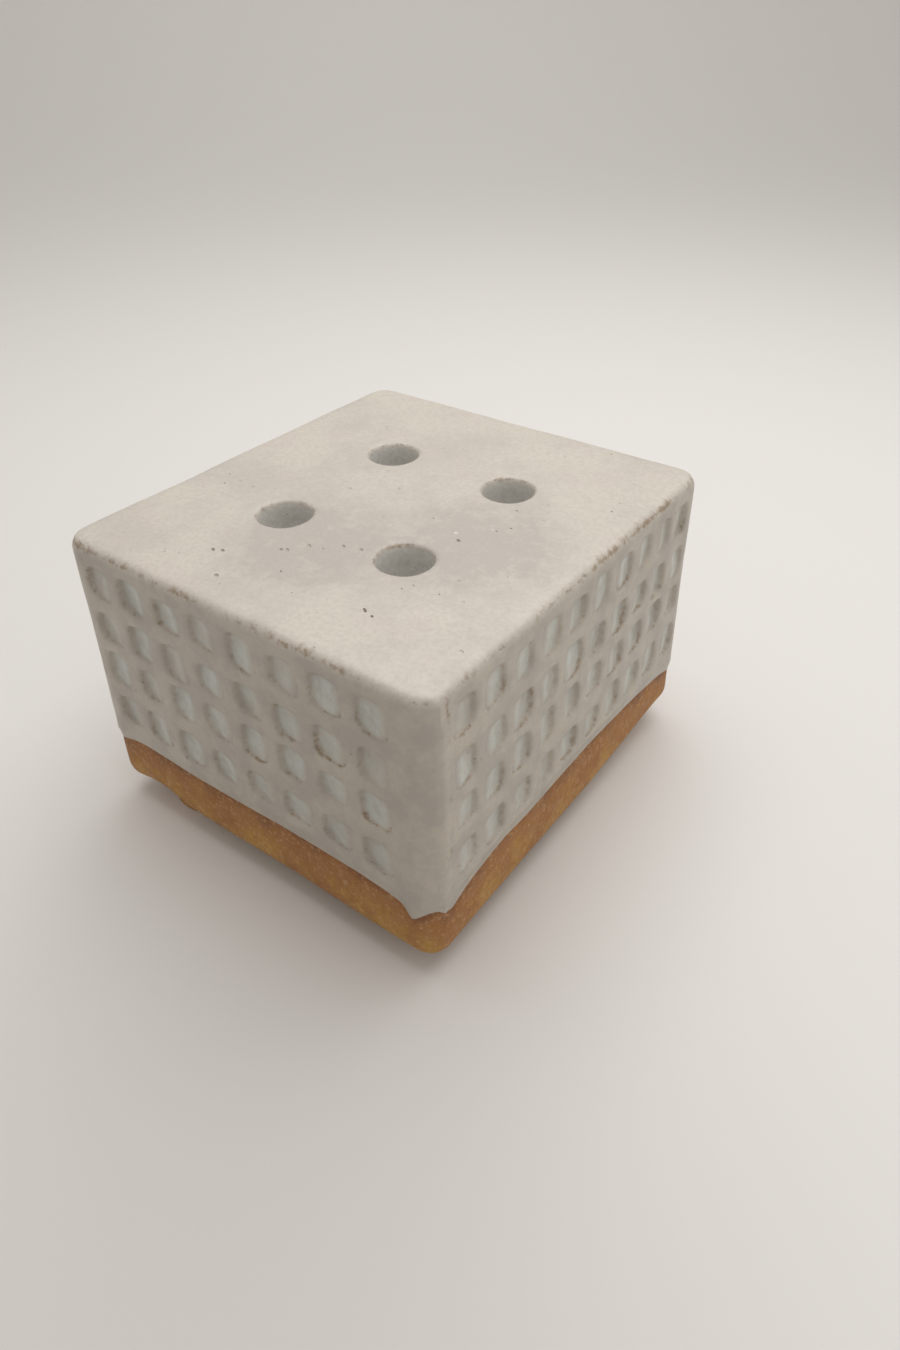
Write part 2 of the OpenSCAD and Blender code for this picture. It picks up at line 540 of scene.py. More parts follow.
@dataclass(frozen=True)
class ToastedClay:
    """Bare stoneware: dark red-brown under the glaze, ochre below, with grog and iron specks."""

    scorched: Colour = (0.165, 0.062, 0.022, 1.0)
    russet: Colour = (0.345, 0.15, 0.047, 1.0)
    ochre: Colour = (0.50, 0.285, 0.065, 1.0)
    grog: Colour = (0.62, 0.42, 0.22, 1.0)
    iron: Colour = (0.10, 0.045, 0.02, 1.0)
    flashed: bool = True

    def material(self, name: str) -> bpy.types.Material:
        """Builds the clay's material.

        Args:
            name: The material's name.

        Returns:
            The material.
        """
        nodes = Nodes(name)
        patches = nodes.ramp(nodes.grain(9.0, 4.0, 0.6), 0.35, 0.65)
        colour = nodes.mix(patches, self.ochre, self.russet)
        if self.flashed:
            drift = nodes.ramp(nodes.grain(6.0, 4.0), 0.2, 0.8, -2.0, 2.0)
            depth = nodes.sum(nodes.stored("below"), drift)
            colour = nodes.mix(nodes.ramp(depth, 2.0, 11.0), self.russet, colour)
            colour = nodes.mix(nodes.ramp(depth, 0.2, 4.5, 0.85, 0.0), colour, self.scorched)
        fine = nodes.ramp(nodes.grain(1.7, 5.0, 0.8), 0.38, 0.65, 0.0, 0.7)
        colour = nodes.mix(fine, colour, self.russet)
        pale = nodes.ramp(nodes.grain(1.1, 4.0, 0.8), 0.5, 0.72, 0.0, 0.6)
        colour = nodes.mix(pale, colour, self.grog)
        colour = nodes.mix(nodes.times(nodes.spots(1.7, 0.12), 0.35), colour, self.grog)
        colour = nodes.mix(nodes.times(nodes.spots(2.3, 0.12), 0.5), colour, self.iron)
        roughness = nodes.ramp(nodes.grain(3.0), 0.3, 0.7, 0.62, 0.82)
        skin = nodes.bump(nodes.grain(0.9, 4.0, 0.7), 0.16)
        skin = nodes.bump(nodes.spots(2.4, 0.16), 0.1, skin)
        return nodes.finish(colour, roughness, skin)


@dataclass(frozen=True)
class PaperSweep:
    """The plain pale paper that the block stands on."""

    white: Colour = (0.78, 0.765, 0.745, 1.0)
    shaded: Colour = (0.64, 0.62, 0.60, 1.0)
    shade_place: tuple[float, float, float] = (50.0, -120.0, 0.0)
    shade_reach: float = 140.0

    def material(self, name: str) -> bpy.types.Material:
        """Builds the paper's material.

        Args:
            name: The material's name.

        Returns:
            The material.
        """
        nodes = Nodes(name)
        colour = nodes.mix(nodes.near(self.shade_place, self.shade_reach), self.white, self.shaded)
        return nodes.finish(colour, 0.9, nodes.bump(nodes.grain(2.0), 0.01))


# ---- the clay ----


@dataclass
class GlazeLine:
    """Where the glaze stops above the base, as a height for each place round the block."""

    half_w: float
    half_d: float
    level: float = 19.9
    corner_reach: float = 6.0
    highest: float = 21.5
    near_wall: float = 3.0
    drip_place: float = 38.6
    drip_fall: float = 2.7
    notch_gap: float = 4.1
    notch_rise: float = 3.2
    runs: ClassVar[dict[tuple[int, int], float]] = {(-1, -1): 3.6, (1, -1): 3.6, (1, 1): 4.6, (-1, 1): 4.0}

    def height(self, x: float, y: float) -> float:
        """Gives the glaze line's height at a place on the walls.

        Args:
            x: The place across the width, in millimetres.
            y: The place along the depth, in millimetres.

        Returns:
            The height above the table, in millimetres.
        """
        z = self.level + 0.45 * math.cos(x * 0.09 + 1.2) * math.cos(y * 0.07)
        z += 0.22 * noise.noise(Vector((x, y, 0.0)) / 3.5)
        for (side_x, side_y), run in self.runs.items():
            away = math.hypot(x - side_x * self.half_w, y - side_y * self.half_d)
            z -= run * bell(away, self.corner_reach)
        if x > self.half_w - self.near_wall:
            z += 1.2 * bell(y + 28.0, 7.0) + 1.2 * bell(y, 24.0)
            z -= 1.0 * bell(y - 38.0, 9.0)
        if y < -self.half_d + self.near_wall:
            z -= self.drip_fall * bell(x - self.drip_place, 1.0)
            z += self.notch_rise * bell(x - self.drip_place - self.notch_gap, 1.9)
        return min(z, self.highest)


@dataclass
class Dimple:
    """One dimple while it is being shaped."""

    side: Side
    column: float
    row: float
    points: list[bmesh.types.BMVert]
    thin: bmesh.types.BMLayerItem
    pool: bmesh.types.BMLayerItem

    def off_middle(self, vert: bmesh.types.BMVert) -> tuple[float, float]:
        """Gives how far a point lies from the dimple's middle, across and up."""
        return vert.co.dot(self.side.across) - self.column, vert.co.z - self.row

    def jog(self, dice: random.Random) -> None:
        """Turns, shifts and resizes the mouth.

        Args:
            dice: The source of chance.
        """
        turn = dice.uniform(-0.06, 0.06)
        shift_u, shift_v = dice.uniform(-0.2, 0.2), dice.uniform(-0.3, 0.3)
        wide, tall = dice.uniform(0.9, 1.02), dice.uniform(0.86, 1.02)
        for vert in self.points:
            u, v = self.off_middle(vert)
            new_u = (u * math.cos(turn) - v * math.sin(turn)) * wide + shift_u + dice.uniform(-0.2, 0.2)
            new_v = (u * math.sin(turn) + v * math.cos(turn)) * tall + shift_v + dice.uniform(-0.3, 0.3)
            vert.co += self.side.across * (new_u - u) + Vector((0, 0, new_v - v))

    def wear(self, dice: random.Random) -> None:
        """Leaves the glaze thinner on the lower lips and on the steep end that faces the camera, where the
        brown is partly painted shade.

        Args:
            dice: The source of chance.
        """
        strength = dice.uniform(0.45, 1.0)
        for vert in self.points:
            u, v = self.off_middle(vert)
            # painted shade, in part: the steep end facing the camera gets brown that stands in for its shade
            # as well as for thinner glaze
            lee, low = u * self.side.lee > 0.5, v < -0.5
            vert[self.thin] = strength * max(0.62 * lee, 0.85 * low) * dice.uniform(0.5, 1.0)

    def fill(self, dice: random.Random) -> None:
        """Tilts the floor and lets the glaze pool on it.

        Args:
            dice: The source of chance.
        """
        side = self.side
        press, tilt_v = dice.uniform(-0.3, 0.25), dice.uniform(-0.06, 0.06)
        filled = dice.uniform(0.55, 1.0)
        for vert in self.points:
            u, v = self.off_middle(vert)
            vert.co -= side.outward * (press + 0.13 * u * side.lee + tilt_v * v)
            if u * side.lee < -0.5:
                vert.co += side.across * side.lee * 0.7 + side.outward * 0.2
            # painted shade, in part: the brown stays on the steep end facing the camera
            vert[self.thin] = 0.6 * vert[self.thin] if u * side.lee > 0.5 else 0.0
            vert[self.pool] = 0.55 * filled

    def settle(self, _dice: random.Random) -> None:
        """Deepens the pool of glaze in the middle.

        Args:
            _dice: Not used, since nothing here is left to chance.
        """
        for vert in self.points:
            vert[self.pool] = min(1.7 * vert[self.pool], 1.0)
            vert[self.thin] = 0.0


@dataclass
class ClayBlock:
    """The whole clay block before glazing, with stamped walls and four stem holes."""

    half_w: float
    half_d: float
    low_z: float
    high_z: float
    slab_z: float
    hole_pitch: tuple[float, float]
    hole_r: float
    line: GlazeLine
    lean: float = 1.6
    corner_r: float = 4.6
    top_edge_r: float = 1.5
    base_edge_r: float = 4.0
    front_first: float = -34.3
    front_pitch: float = 9.45
    front_cols: int = 8
    side_first: float = -38.6
    side_pitch: float = 8.65
    side_cols: int = 10
    front_half: float = 4.2
    side_half: float = 3.8
    row_half: float = 4.1
    seed: int = 11

    rows: ClassVar[tuple[float, ...]] = (26.7, 37.4, 47.0, 57.2)
    bore_split: ClassVar[float] = 3.0
    past_slab: ClassVar[float] = 1.5
    rim: ClassVar[float] = 0.1
    line_mark: ClassVar[float] = 16.0
    lip_mark: ClassVar[float] = 18.0
    band_mark: ClassVar[float] = 11.5
    drip_marks: ClassVar[tuple[float, ...]] = (37.2, 38.4)
    top_margin: ClassVar[float] = 3.0
    corner_fill: ClassVar[float] = 0.6
    front_lift: ClassVar[float] = 1.7
    front_lift_place: ClassVar[float] = -31.0
    right_lift: ClassVar[float] = 1.6

    def columns(self, side: Side) -> list[float]:
        """Gives the middles of a wall's columns of dimples.

        Args:
            side: The wall.

        Returns:
            Their places along the wall.
        """
        if side in (Side.FRONT, Side.BACK):
            return [self.front_first + self.front_pitch * i for i in range(self.front_cols)]
        return [self.side_first + self.side_pitch * i for i in range(self.side_cols)]

    def half_width(self, side: Side) -> float:
        """Gives half the width of a dimple on a wall."""
        return self.front_half if side in (Side.FRONT, Side.BACK) else self.side_half

    def hole_middles(self) -> list[tuple[float, float]]:
        """Gives the middles of the four stem holes."""
        step_x, step_y = self.hole_pitch[0] / 2, self.hole_pitch[1] / 2
        return [(x * step_x, y * step_y) for x in (-1, 1) for y in (-1, 1)]

    def in_bore(self, place: Vector, slack: float = 0.3) -> bool:
        """Says whether a place is in one of the stem holes or within the slack of its wall."""
        reach = self.hole_r + slack
        return any(math.hypot(place.x - x, place.y - y) < reach for x, y in self.hole_middles())

    def build(self) -> bpy.types.Object:
        """Models the block.

        Returns:
            The closed block in millimetres, whose material slots follow Zone.
        """
        block = start_piece("clay_block", bpy.ops.mesh.primitive_cube_add, size=1.0)
        bpy.ops.transform.resize(value=(2 * self.half_w, 2 * self.half_d, self.high_z - self.low_z))
        bpy.ops.transform.translate(value=(0, 0, (self.high_z + self.low_z) / 2))
        self._mark_walls(block)
        self._round_edges(block)
        self._lay_top(block)
        self._punch_holes(block)
        self._stamp_dimples(block)
        self._bend_glaze_line(block)
        self._mark_zones(block)
        close_edit()
        apply_modifier(block, "SUBSURF", levels=1, render_levels=1)
        self._press_by_hand(block)
        return block

    def _mark_walls(self, block: bpy.types.Object) -> None:
        """Cuts the walls along the edges of the dimples, the glaze line and the base band.

        Args:
            block: The block, open in edit mode.
        """
        pick(block, Pick.FACES, lambda face: abs(face.normal.z) > 0.9)
        bpy.ops.mesh.delete(type="ONLY_FACE")
        for axis, side in ((Vector((1, 0, 0)), Side.FRONT), (Vector((0, 1, 0)), Side.RIGHT)):
            for middle in self.columns(side):
                for step in (-1.0, 0.0, 1.0):
                    self._cut(axis * (middle + step * self.half_width(side)), axis)
        for place in self.drip_marks:
            self._cut(Vector((place, 0, 0)), Vector((1, 0, 0)))
        heights = [self.band_mark, self.line_mark, self.lip_mark]
        for row in self.rows:
            heights += [row - self.row_half, row, row + self.row_half]
        for height in heights:
            self._cut(Vector((0, 0, height)), Vector((0, 0, 1)))

    def _cut(self, place: Vector, normal: Vector) -> None:
        """Cuts new edges through the whole mesh along a plane."""
        bpy.ops.mesh.select_all(action="SELECT")
        bpy.ops.mesh.bisect(plane_co=place, plane_no=normal)

    def _round_edges(self, block: bpy.types.Object) -> None:
        """Rounds the upright corners and then the top and bottom edges.

        Args:
            block: The block, open in edit mode.
        """

        def upright_corner(edge: bmesh.types.BMEdge) -> bool:
            """Finds the block's upright corners.

            Args:
                edge: An edge of the block.

            Returns:
                Whether it is one of them.
            """
            middle = edge_middle(edge)
            across, along = abs(abs(middle.x) - self.half_w), abs(abs(middle.y) - self.half_d)
            upright = abs(edge.verts[0].co.z - edge.verts[1].co.z) > TOUCHING
            return upright and across < TOUCHING and along < TOUCHING

        def loop_at(height: float) -> Callable[[bmesh.types.BMEdge], bool]:
            """Gives a test for the edges that lie at a height."""
            return lambda edge: all(abs(vert.co.z - height) < TOUCHING for vert in edge.verts)

        def is_sole(face: bmesh.types.BMFace) -> bool:
            """Says whether a face is the wide one underneath."""
            return len(face.verts) > 8 and face.calc_center_median().z < self.low_z + 0.1

        pick(block, Pick.EDGES, upright_corner)
        bpy.ops.mesh.bevel(offset=self.corner_r, segments=4, profile=0.5, affect="EDGES", clamp_overlap=False)
        for height, radius in ((self.high_z, self.top_edge_r), (self.low_z, self.base_edge_r)):
            at_height = loop_at(height)
            pick(block, Pick.EDGES, lambda edge: edge.is_boundary and at_height(edge))
            bpy.ops.mesh.edge_face_add()
            pick(block, Pick.EDGES, at_height)
            bpy.ops.mesh.bevel(offset=radius, segments=3, profile=0.5, affect="EDGES", clamp_overlap=False)
        pick(block, Pick.FACES, is_sole)
        bpy.ops.mesh.inset(thickness=3.0)

    def _top_lines(self, pitch: float, middle_cells: int, outer_cells: int, reach: float) -> list[float]:
        """Gives the lines that divide the top in one direction, four cells to each hole.

        Args:
            pitch: The distance between the two holes' middles.
            middle_cells: How many cells lie between the two holes.
            outer_cells: How many cells lie outside each hole.
            reach: How far the divided part reaches from the middle.

        Returns:
            The lines' places, without the two outer ones.
        """
        quarter = pitch / 4
        inner = [quarter * (2 * i / middle_cells - 1) for i in range(1, middle_cells)]
        hole = [quarter * (1 + i / 2) for i in range(5)]
        step = (reach - 3 * quarter) / outer_cells
        outer = [3 * quarter + step * i for i in range(1, outer_cells)]
        return sorted(inner + [sign * line for line in hole + outer for sign in (-1, 1)])

    def _lay_top(self, block: bpy.types.Object) -> None:
        """Lays the top in as a net of cells that fits both the stem holes and the walls' columns.

        Args:
            block: The block, open in edit mode.
        """
        reach_x = self.half_w - self.top_edge_r - self.top_margin
        reach_y = self.half_d - self.top_edge_r - self.top_margin

        def is_top(face: bmesh.types.BMFace) -> bool:
            """Says whether a face is the wide one on top."""
            return len(face.verts) > 8 and face.calc_center_median().z > self.slab_z

        pick(block, Pick.FACES, is_top)
        bpy.ops.mesh.delete(type="ONLY_FACE")
        bpy.ops.mesh.select_all(action="DESELECT")
        bpy.ops.mesh.primitive_plane_add(size=2.0, location=(0, 0, self.high_z))
        bpy.ops.transform.resize(value=(reach_x, reach_y, 1.0))

        def in_net(vert: bmesh.types.BMVert) -> bool:
            """Says whether a point belongs to the net."""
            inside = abs(vert.co.x) < reach_x + TOUCHING and abs(vert.co.y) < reach_y + TOUCHING
            return inside and abs(vert.co.z - self.high_z) < TOUCHING

        lines_x = self._top_lines(self.hole_pitch[0], 5, 9, reach_x)
        lines_y = self._top_lines(self.hole_pitch[1], 7, 10, reach_y)
        for axis, lines in ((Vector((1, 0, 0)), lines_x), (Vector((0, 1, 0)), lines_y)):
            for line in lines:
                pick(block, Pick.VERTS, in_net)
                bpy.ops.mesh.bisect(plane_co=axis * line, plane_no=axis)
        pick(block, Pick.EDGES, lambda edge: edge.is_boundary)
        bpy.ops.mesh.bridge_edge_loops()

    def _punch_holes(self, block: bpy.types.Object) -> None:
        """Opens the four stem holes, with a softened rim and a bore to below the slab.

        Args:
            block: The block, open in edit mode.
        """
        quarter_x, quarter_y = self.hole_pitch[0] / 4, self.hole_pitch[1] / 4
        through = self.high_z - self.slab_z + self.past_slab
        rings = (
            (self.hole_r + 0.5, 0.0), (self.hole_r + self.rim, 0.04), (self.hole_r, 0.5),
            (self.hole_r, self.bore_split), (self.hole_r, through),
        )
        for x, y in self.hole_middles():

            def over_hole(face: bmesh.types.BMFace) -> bool:
                """Finds the cells that the hole takes up.

                Args:
                    face: A face of the block.

                Returns:
                    Whether it is one of them.
                """
                middle = face.calc_center_median()
                near = abs(middle.x - x) < quarter_x and abs(middle.y - y) < quarter_y
                return near and middle.z > self.high_z - TOUCHING

            pick(block, Pick.FACES, over_hole)
            bpy.ops.mesh.delete(type="FACE")
            pick(block, Pick.EDGES, lambda edge: edge.is_boundary)
            for radius, depth in rings:
                bpy.ops.mesh.extrude_edges_move()
                self._lay_ring(block, Vector((x, y, self.high_z - depth)), radius)
            bpy.ops.mesh.edge_face_add()

    def _lay_ring(self, block: bpy.types.Object, middle: Vector, radius: float) -> None:
        """Lays the selected points on a level circle.

        Args:
            block: The block, open in edit mode.
            middle: The circle's middle.
            radius: Its radius.
        """
        mesh = bmesh.from_edit_mesh(block.data)
        for vert in mesh.verts:
            if vert.select:
                away = Vector((vert.co.x - middle.x, vert.co.y - middle.y, 0.0))
                vert.co = middle + away.normalized() * radius
        bmesh.update_edit_mesh(block.data)

    def _cell_of(self, face: bmesh.types.BMFace) -> Optional[Cell]:
        """Says which dimple a face belongs to.

        Args:
            face: A face of the block.

        Returns:
            The dimple's wall, column and row, or None for a face outside the dimples.
        """
        place = face.calc_center_median()
        half = Vector((self.half_w, self.half_d, 0.0))
        for side in Side:
            wall = abs(half.dot(side.outward))
            if face.normal.dot(side.outward) > 0.7 and place.dot(side.outward) > wall - 4.0:
                for column in self.columns(side):
                    for row in self.rows:
                        near = abs(place.dot(side.across) - column) < self.half_width(side)
                        if near and abs(place.z - row) < self.row_half:
                            return side, column, row
        return None

    def _stamp_dimples(self, block: bpy.types.Object) -> None:
        """Stamps the dimples, each a little turned, shifted and deeper or shallower than the next.

        Args:
            block: The block, open in edit mode.
        """
        dice = random.Random(self.seed)
        bpy.ops.mesh.select_all(action="SELECT")
        bpy.ops.mesh.normals_make_consistent(inside=False)
        mesh = bmesh.from_edit_mesh(block.data)
        for name in ("thin", "pool"):
            mesh.verts.layers.float.new(name)
        mesh.edges.layers.float.new("crease_edge")
        bmesh.update_edit_mesh(block.data)
        pick(block, Pick.FACES, lambda face: self._cell_of(face) is not None)
        mesh = bmesh.from_edit_mesh(block.data)
        self._shape_dimples(mesh, dice, Dimple.jog, 0.3)
        bmesh.update_edit_mesh(block.data)
        for thickness, depth, shape, crease in (
            (0.25, -0.15, Dimple.wear, 0.1), (0.4, -0.75, Dimple.fill, 0.1), (0.9, -0.05, Dimple.settle, 0.0)
        ):
            bpy.ops.mesh.inset(thickness=thickness, depth=depth)
            mesh = bmesh.from_edit_mesh(block.data)
            self._shape_dimples(mesh, dice, shape, crease)
            bmesh.update_edit_mesh(block.data)

    def _shape_dimples(
        self,
        mesh: bmesh.types.BMesh,
        dice: random.Random,
        shape: Callable[[Dimple, random.Random], None],
        crease: float,
    ) -> None:
        """Shapes each dimple's selected faces and sharpens their outline.

        Args:
            mesh: The block's mesh, with the dimples' faces selected.
            dice: The source of chance.
            shape: Shapes one dimple.
            crease: How sharp the outline stays.
        """
        thin = mesh.verts.layers.float["thin"]
        pool = mesh.verts.layers.float["pool"]
        sharp = mesh.edges.layers.float["crease_edge"]
        points: dict[Cell, set[bmesh.types.BMVert]] = {}
        for face in mesh.faces:
            if face.select:
                points.setdefault(self._cell_of(face), set()).update(face.verts)
        for edge in mesh.edges:
            if sum(face.select for face in edge.link_faces) == 1:
                edge[sharp] = crease
        for cell in sorted(points, key=lambda cell: (cell[0].name, cell[1], cell[2])):
            side, column, row = cell
            dots = sorted(points[cell], key=lambda vert: (vert.co.z, vert.co.dot(side.across)))
            middle = next(vert for vert in dots if all(face.select for face in vert.link_faces))
            ring = [vert.co.dot(side.outward) for vert in dots if vert is not middle]
            middle.co += side.outward * (sum(ring) / len(ring) - middle.co.dot(side.outward))
            shape(Dimple(side, column, row, dots, thin, pool), dice)

    def _bend_glaze_line(self, block: bpy.types.Object) -> None:
        """Moves the marked rings of points onto the wavy glaze line and marks where the glaze runs off the
        arris, the hole rims and the near corner.

        Args:
            block: The block, open in edit mode.
        """
        mesh = bmesh.from_edit_mesh(block.data)
        thin = mesh.verts.layers.float["thin"]
        for vert in mesh.verts:
            level = self.line.height(vert.co.x, vert.co.y)
            if abs(vert.co.z - self.line_mark) < TOUCHING:
                vert.co.z = level
            elif abs(vert.co.z - self.lip_mark) < TOUCHING:
                vert.co.z = min(level + 1.2, self.rows[0] - self.row_half - 0.4)
            elif abs(vert.co.z - self.band_mark) < TOUCHING:
                vert.co.z += (level - self.line.level) * 0.5
            vert[thin] = max(vert[thin], self._worn(vert.co))
        bmesh.update_edit_mesh(block.data)

    def _worn(self, place: Vector) -> float:
        """Says how far the glaze has run off a place: the arris, the hole rims and the near corner.

        Args:
            place: A point of the block.

        Returns:
            0 where the glaze is whole, up to 0.8 where the clay shows through.
        """
        usual = 0.57
        patchy = usual + 0.9 * noise.noise(Vector((place.x, place.y, 3.0)) / 9.0)
        on_edge = max(abs(place.x) - self.half_w, abs(place.y) - self.half_d) > -self.top_edge_r
        if on_edge and self.high_z - 0.85 * self.top_edge_r < place.z < self.high_z - 0.05:
            upper = place.z > self.high_z - 0.3 * self.top_edge_r
            return min(max(patchy, 0.0), 0.8) * (0.45 if upper else 1.0)
        for x, y in self.hole_middles():
            away = Vector((place.x - x, place.y - y, 0.0))
            if abs(away.length - self.hole_r - self.rim) < 0.05 and place.z > self.high_z - 0.1:
                far_side = away.dot(Vector((-0.9, 0.45, 0.0))) / self.hole_r
                return min(max(0.45 * far_side + 0.25 + 0.6 * (patchy - usual), 0.0), 0.75)
        bevel_end = self.half_w - place.x < 0.05 and abs(place.y + self.half_d - self.corner_r) < 0.05
        if bevel_end and place.z > self.line.level:
            return min(max(0.5 + 0.8 * noise.noise(place / 6.0), 0.0), 0.7)
        return 0.0

    def _mark_zones(self, block: bpy.types.Object) -> None:
        """Gives each face the material slot of its zone.

        Args:
            block: The block, open in edit mode.
        """
        for zone in Zone:
            block.data.materials.append(bpy.data.materials.new(zone.name))
        mesh = bmesh.from_edit_mesh(block.data)
        split_z, end_z = self.high_z - self.bore_split, self.slab_z - 1.4
        for face in mesh.faces:
            middle = face.calc_center_median()
            zone = Zone.GLAZED if middle.z > self.line.height(middle.x, middle.y) else Zone.BARE
            if self.in_bore(middle) and self.low_z + 1.0 < middle.z < split_z:
                zone = Zone.BORE_END if middle.z < end_z else Zone.BORE
            face.material_index = zone.value
        bmesh.update_edit_mesh(block.data)

    def _corner_push(self, place: Vector, rise: float) -> Vector:
        """Fills the near corner out towards the right wall, so that it ends there in a blunt edge.

        Args:
            place: A point of the block.
            rise: Its height, as a share of the block's.

        Returns:
            How far the point moves.
        """
        away = Vector((place.x - self.half_w + self.corner_r, place.y + self.half_d - self.corner_r, 0.0))
        if away.x < 0.1 or away.y > -0.01:
            return Vector()
        turn = math.degrees(math.atan2(-away.y, away.x))
        return away.normalized() * self.corner_fill * bell(turn - 22.0, 15.0) * smooth_step(0.05, 0.35, rise)

    def _press_by_hand(self, block: bpy.types.Object) -> None:
        """Leans the walls in and gives the whole block the soft unevenness of handwork.

        Args:
            block: The block, in object mode.
        """
        height = self.high_z - self.low_z

        def move(place: Vector, normal: Vector) -> Vector:
            """Moves one point.

            Args:
                place: Where it is.
                normal: The direction that its surface faces.

            Returns:
                Its new place.
            """
            rise = (place.z - self.low_z) / height
            lean = self.lean * rise
            swell = (
                0.22 * noise.noise(place / 24.0)
                + 0.08 * noise.noise(place / 8.0 + Vector((7.0, 0.0, 0.0)))
                + 0.03 * noise.noise(place / 3.0)
            )
            if self.in_bore(place) and place.z > self.low_z + 5.0:
                swell *= 0.25
            moved = place + normal * swell + self._corner_push(place, rise)
            near_base = smooth_step(13.0, 6.0, place.z)
            front_share = smooth_step(-self.half_d + 5.0, -self.half_d + 2.0, place.y) * near_base
            moved.z += self.front_lift * bell(place.x - self.front_lift_place, 6.5) * front_share
            right_share = smooth_step(self.half_w - 5.0, self.half_w - 2.0, place.x) * near_base
            moved.z += self.right_lift * smooth_step(4.0, 40.0, place.y) * right_share
            moved.x -= lean * (moved.x / self.half_w) ** 3
            moved.y -= lean * (moved.y / self.half_d) ** 3
            return moved

        move_points(block, move)


# ---- pieces ----


class Slabs:
    """Cuts the clay block into the slabs that it was built from."""

    past_walls: ClassVar[float] = 3.0
    past_ends: ClassVar[float] = 5.0

    def __init__(
        self, block: bpy.types.Object, sizes: ClayBlock, inner_w: float, inner_d: float, base_z: float
    ) -> None:
        """Keeps the block and where its slabs meet.

        Args:
            block: The whole clay block.
            sizes: The block's sizes.
            inner_w: The width between the walls.
            inner_d: The depth between the walls.
            base_z: The height of the base slab's top.
        """
        self.block = block
        self.sizes = sizes
        self.half_inner = Vector((inner_w / 2, inner_d / 2, 0.0))
        self.base_z = base_z
        self.clay = ToastedClay().material("toasted_clay")

    def build(self) -> list[bpy.types.Object]:
        """Cuts the slabs.

        Returns:
            The four walls, the top slab and the base slab.
        """
        names = {
            Side.FRONT: "front_wall", Side.RIGHT: "right_wall", Side.BACK: "back_wall", Side.LEFT: "left_wall"
        }
        pieces = [self._cut_out(name, self._wall_space(side)) for side, name in names.items()]
        over_top = self.sizes.high_z + self.past_ends
        under_base = self.sizes.low_z - self.past_ends
        pieces.append(self._cut_out("top_slab", self._inner_space(self.sizes.slab_z, over_top)))
        pieces.append(self._cut_out("base_slab", self._inner_space(under_base, self.base_z)))
        return pieces

    def _wall_space(self, side: Side) -> bpy.types.Object:
        """Gives the mitred space that one wall fills.

        Args:
            side: The wall.

        Returns:
            The space as a closed piece.
        """
        half = Vector((self.sizes.half_w, self.sizes.half_d, 0.0))
        outward, across = side.outward, side.across
        far = abs(half.dot(outward)) + self.past_walls
        near = abs(self.half_inner.dot(outward))
        long, short = half.dot(across) + self.past_walls, self.half_inner.dot(across)
        grow = far - near - (long - short)
        space = start_piece("wall_space", bpy.ops.mesh.primitive_cube_add, size=1.0)
        size_z = self.sizes.high_z - self.sizes.low_z + 4 * self.past_ends
        size = across * 2 * (long + grow) + Vector((abs(outward.x), abs(outward.y), 0)) * (far - near)
        bpy.ops.transform.resize(value=(size.x, size.y, size_z))
        middle = outward * (far + near) / 2 + Vector((0, 0, size_z / 2 - self.past_ends))
        bpy.ops.transform.translate(value=middle)
        pick(space, Pick.FACES, lambda face: face.normal.dot(outward) < -0.9)
        shrink = short / (long + grow)
        bpy.ops.transform.resize(
            value=(1 + (shrink - 1) * across.x, 1 + (shrink - 1) * across.y, 1.0), center_override=(0, 0, 0)
        )
        close_edit()
        return space

    def _inner_space(self, low: float, high: float) -> bpy.types.Object:
        """Gives the space between the walls, between two heights.

        Args:
            low: The lower height.
            high: The upper height.

        Returns:
            The space as a closed piece.
        """
        space = start_piece("inner_space", bpy.ops.mesh.primitive_cube_add, size=1.0)
        bpy.ops.transform.resize(value=(2 * self.half_inner.x, 2 * self.half_inner.y, high - low))
        bpy.ops.transform.translate(value=(0, 0, (high + low) / 2))
        close_edit()
        return space

    def _cut_out(self, name: str, space: bpy.types.Object) -> bpy.types.Object:
        """Cuts the part of the block that lies in a space, and dresses it in bare clay.

        Args:
            name: The slab's node.
            space: The space, which is used up.

        Returns:
            The slab.
        """
        slab = copy_piece(self.block, f"{name}_clay")
        apply_modifier(slab, "BOOLEAN", operation="INTERSECT", solver="MANIFOLD", object=space)
        bpy.data.objects.remove(space)
        line = self.sizes.line
        write_values(slab, "below", lambda place: line.height(place.x, place.y) - place.z)
        return dress(slab, self.clay, "bare_clay", name)


